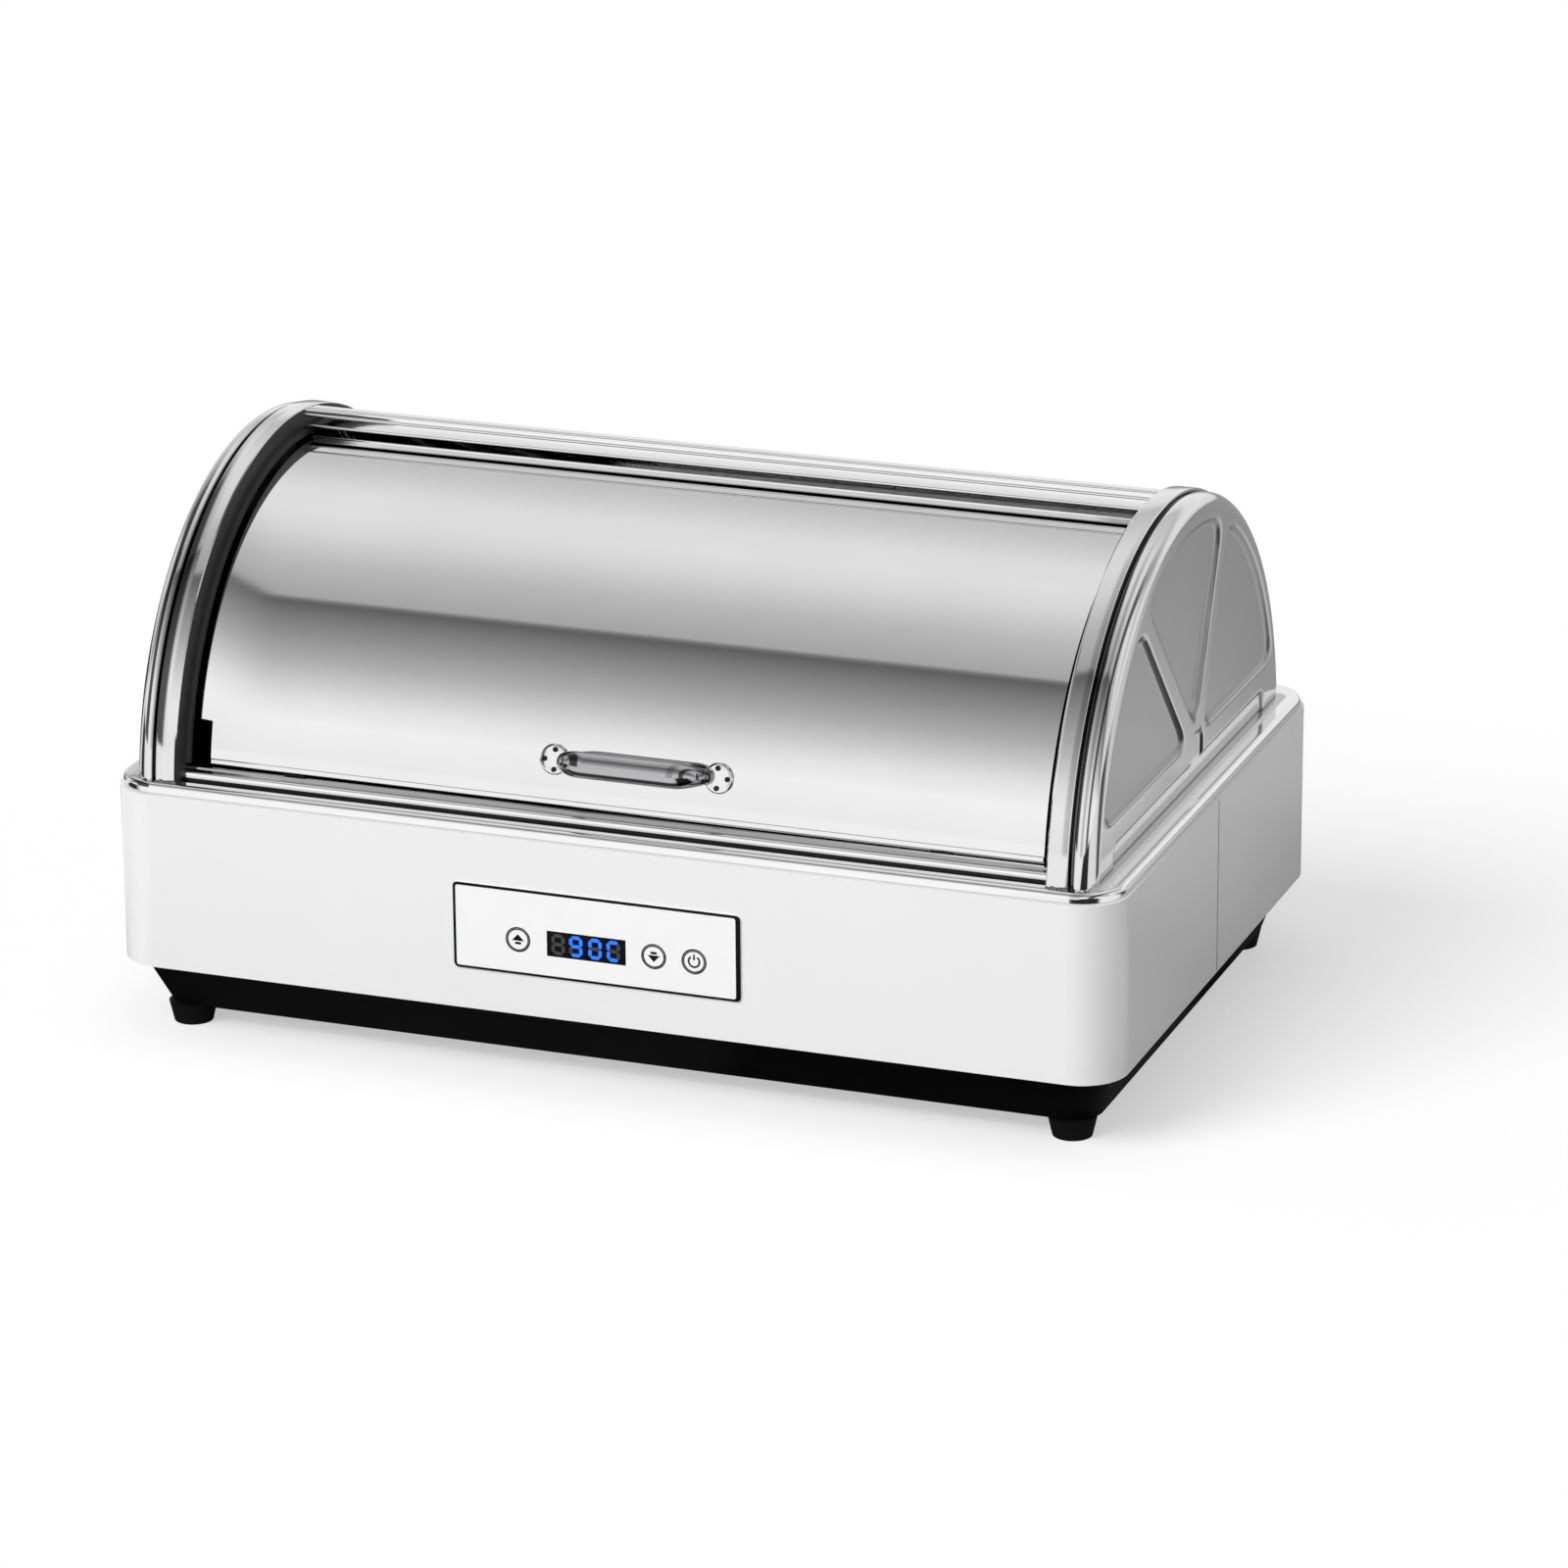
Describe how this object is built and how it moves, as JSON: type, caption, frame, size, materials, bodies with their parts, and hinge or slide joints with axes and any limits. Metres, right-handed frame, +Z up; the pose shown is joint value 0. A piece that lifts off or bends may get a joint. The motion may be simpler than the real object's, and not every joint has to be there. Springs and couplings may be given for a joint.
{
  "type": "electric chafing dish",
  "caption": "Roll-top electric chafing dish: heated rectangular base with digital keypad, inset pans and a curved steel lid that pivots up and back between D-shaped end caps.",
  "frame": {"origin": "centre of the bounding box at table level, where the feet rest", "axes": "+Z up, -Y towards the front with the keypad, +X to the right seen from the front, along the lid's pivot axis"},
  "size_m": [0.56, 0.36, 0.3],
  "materials": {
    "white_paint": "smooth gloss enamel",
    "polished_steel": "polished",
    "lid_steel": "polished, drawn grain along the roll",
    "satin_steel": "satin",
    "zinc_steel": "zinc plated",
    "heater_steel": "heat-darkened",
    "aluminised_sheet": "mill",
    "chrome": "mirror",
    "black_plastic": "satin",
    "black_rubber": "matte",
    "dark_moulding": "fine texture",
    "pale_moulding": "smooth",
    "ceramic": "unglazed",
    "white_overlay": "printed film",
    "white_key": "printed film",
    "dark_lens": "polished",
    "green_board": "solder mask"
  },
  "bodies": {
    "base": {"arch_seal_left": "black_rubber", "arch_seal_right": "black_rubber", "base_tray": "black_plastic", "board_posts": "pale_moulding", "control_board": "green_board", "control_panel": "white_overlay", "cutout_bracket": "zinc_steel", "display_module": "dark_moulding", "display_window": "dark_lens", "element_rests": "ceramic", "end_cap_left": "polished_steel", "end_cap_right": "polished_steel", "food_pan": "satin_steel", "foot_front_left": "black_rubber", "foot_front_right": "black_rubber", "foot_rear_left": "black_rubber", "foot_rear_right": "black_rubber", "foot_screws": "zinc_steel", "front_sill": "polished_steel", "heat_shield": "aluminised_sheet", "heating_element": "heater_steel", "housing_front": "white_paint", "housing_rear": "white_paint", "inlet_blades": "zinc_steel", "inlet_rivets": "zinc_steel", "key_switches": "dark_moulding", "lid_bumpers": "black_rubber", "pivot_bracket_left": "satin_steel", "pivot_bracket_right": "satin_steel", "pivot_bush_left": "pale_moulding", "pivot_bush_right": "pale_moulding", "power_inlet": "dark_moulding", "probe_clip": "zinc_steel", "rear_cover": "polished_steel", "relay_block": "dark_moulding", "rim_frame": "polished_steel", "rim_nuts": "zinc_steel", "rim_studs": "zinc_steel", "seam_strips": "zinc_steel", "shield_posts": "zinc_steel", "temperature_probe": "satin_steel", "terminal_block": "dark_moulding", "thermal_cutout": "dark_moulding", "top_bar": "polished_steel", "tray_screws": "zinc_steel", "water_pan": "satin_steel"},
    "lid": {"lid_shell": "lid_steel", "lid_arm_left": "satin_steel", "lid_arm_right": "satin_steel", "handle_bar": "chrome", "handle_rosette_left": "chrome", "handle_rosette_right": "chrome", "handle_rivets": "satin_steel", "pivot_pin_left": "satin_steel", "pivot_pin_right": "satin_steel"},
    "up_key": {"key_up": "white_key"},
    "down_key": {"key_down": "white_key"},
    "power_key": {"key_power": "white_key"}
  },
  "joints": [
    {"name": "lid_roll", "type": "hinge", "parent": "base", "child": "lid", "pos_m": [0, -0.006, 0.132], "axis": [-1, 0, 0], "range_deg": [0, 72]},
    {"name": "up_press", "type": "slide", "parent": "base", "child": "up_key", "axis": [0, 1, 0], "range_m": [0, 0.0008], "stiffness_N_per_m": 1000, "springref_m": -0.0006},
    {"name": "down_press", "type": "slide", "parent": "base", "child": "down_key", "axis": [0, 1, 0], "range_m": [0, 0.0008], "stiffness_N_per_m": 1000, "springref_m": -0.0006},
    {"name": "power_press", "type": "slide", "parent": "base", "child": "power_key", "axis": [0, 1, 0], "range_m": [0, 0.0008], "stiffness_N_per_m": 1000, "springref_m": -0.0006}
  ]
}
